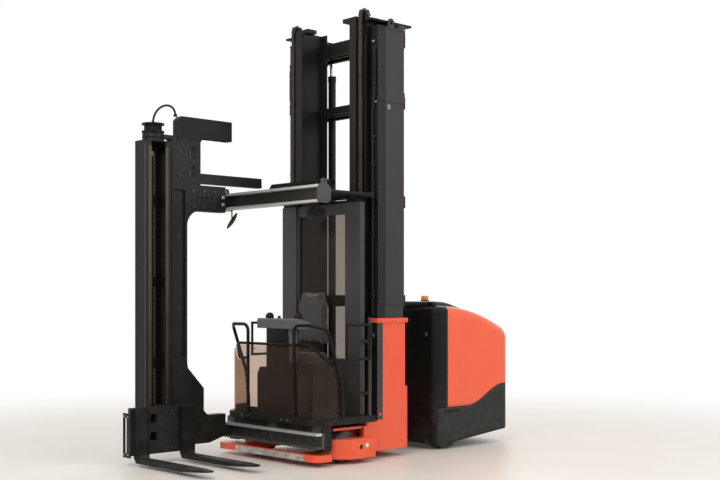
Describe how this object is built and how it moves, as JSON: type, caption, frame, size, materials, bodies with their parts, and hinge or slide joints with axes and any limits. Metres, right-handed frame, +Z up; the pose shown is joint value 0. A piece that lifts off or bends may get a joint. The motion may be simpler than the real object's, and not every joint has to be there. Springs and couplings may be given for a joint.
{
  "type": "very narrow aisle truck with a rise-up cab and turret forks",
  "caption": "Rise-up cab lift truck with a three-stage mast, an articulated rear power unit and a traversing turret head with sideways forks.",
  "frame": {"origin": "on the floor, midway along and across the parked truck", "axes": "+X towards the turret head, +Y to the driver's left, +Z up"},
  "size_m": [4.142, 1.62, 4.4691],
  "materials": {
    "orange_paint": "satin orange paint",
    "black_paint": "satin black paint",
    "charcoal_paint": "satin dark grey paint",
    "grey_paint": "light grey paint",
    "silver": "brushed and clear coated",
    "chain_steel": "oiled steel",
    "chrome": "hard chrome",
    "tyre": "matte polyurethane and rubber",
    "battery_case": "matte",
    "black_plastic": "fine grain",
    "charcoal_plastic": "fine grain",
    "grey_plastic": "fine grain",
    "amber": "clear amber lens",
    "tinted_glass": "grey tinted clear sheet",
    "seat_fabric": "woven cover"
  },
  "bodies": {
    "chassis": {"chassis_frame": "orange_paint", "front_skid": "silver", "outer_mast": "charcoal_paint", "outer_ties": "charcoal_paint", "lift_cylinders": "black_paint"},
    "load_roller_left": {"load_wheel_left": "tyre"},
    "load_roller_right": {"load_wheel_right": "tyre"},
    "power_unit": {"unit_frame": "black_paint", "battery": "battery_case", "hood": "orange_paint", "front_shroud": "black_plastic", "top_cover": "charcoal_plastic", "skirt": "charcoal_plastic", "beacon": "amber"},
    "drive_left": {"drive_wheel_left": "tyre"},
    "drive_right": {"drive_wheel_right": "tyre"},
    "mast_middle": {"middle_mast": "black_paint", "cylinder_rods": "chrome", "lift_chains": "chain_steel"},
    "mast_inner": {"inner_mast": "charcoal_paint", "inner_ties": "charcoal_paint"},
    "cab": {"cab_floor": "charcoal_paint", "lower_beam": "silver", "roof_beam": "silver", "cab_pillars": "grey_paint", "rear_window": "tinted_glass", "roof_guard": "black_paint", "front_screen": "tinted_glass", "grab_hoops": "black_paint", "front_rail": "black_paint", "console": "grey_plastic", "control_pods": "black_plastic", "seat_base": "black_paint", "seat_cushion": "seat_fabric", "seat_back": "seat_fabric", "energy_chain": "black_plastic", "mirrors": "black_plastic"},
    "side_gate_left": {"gate_left": "black_paint"},
    "side_gate_right": {"gate_right": "black_paint"},
    "traverse": {"traverse_column": "charcoal_paint", "hose_arm": "black_paint"},
    "turret": {"aux_mast": "charcoal_paint", "swivel_drum": "black_plastic"},
    "fork_slide": {"fork_carriage": "charcoal_paint", "forks": "black_paint"}
  },
  "joints": [
    {"name": "load_wheel_left_roll", "type": "hinge", "parent": "chassis", "child": "load_roller_left", "pos_m": [0.4, 0.59, 0.15], "axis": [0, 1, 0], "continuous": true},
    {"name": "load_wheel_right_roll", "type": "hinge", "parent": "chassis", "child": "load_roller_right", "pos_m": [0.4, -0.59, 0.15], "axis": [0, 1, 0], "continuous": true},
    {"name": "steer", "type": "hinge", "parent": "chassis", "child": "power_unit", "pos_m": [-0.63, 0, 0.4], "axis": [0, 0, 1], "range_deg": [-32, 32]},
    {"name": "drive_wheel_left_roll", "type": "hinge", "parent": "power_unit", "child": "drive_left", "pos_m": [-1.1, 0.53, 0.18], "axis": [0, 1, 0], "continuous": true},
    {"name": "drive_wheel_right_roll", "type": "hinge", "parent": "power_unit", "child": "drive_right", "pos_m": [-1.1, -0.53, 0.18], "axis": [0, 1, 0], "continuous": true},
    {"name": "mast_lift", "type": "slide", "parent": "chassis", "child": "mast_middle", "axis": [0, 0, 1], "range_m": [0, 2.6]},
    {"name": "inner_lift", "type": "slide", "parent": "mast_middle", "child": "mast_inner", "axis": [0, 0, 1], "range_m": [0, 2.6]},
    {"name": "cab_lift", "type": "slide", "parent": "mast_inner", "child": "cab", "axis": [0, 0, 1], "range_m": [0, 2.6]},
    {"name": "gate_left_hinge", "type": "hinge", "parent": "cab", "child": "side_gate_left", "pos_m": [0.115, 0.737, 1.225], "axis": [0, -1, 0], "range_deg": [0, 85]},
    {"name": "gate_right_hinge", "type": "hinge", "parent": "cab", "child": "side_gate_right", "pos_m": [0.115, -0.737, 1.225], "axis": [0, -1, 0], "range_deg": [0, 85]},
    {"name": "traverse_slide", "type": "slide", "parent": "cab", "child": "traverse", "axis": [0, 1, 0], "range_m": [0, 1.4]},
    {"name": "turret_swivel", "type": "hinge", "parent": "traverse", "child": "turret", "pos_m": [1.698, -0.7, 1.5], "axis": [0, 0, 1], "range_deg": [-180, 0]},
    {"name": "fork_lift", "type": "slide", "parent": "turret", "child": "fork_slide", "axis": [0, 0, 1], "range_m": [0, 1.8]}
  ],
  "couplings": [
    {"joint": "inner_lift", "follows": "mast_lift", "ratio": 1},
    {"joint": "cab_lift", "follows": "mast_lift", "ratio": 1}
  ]
}
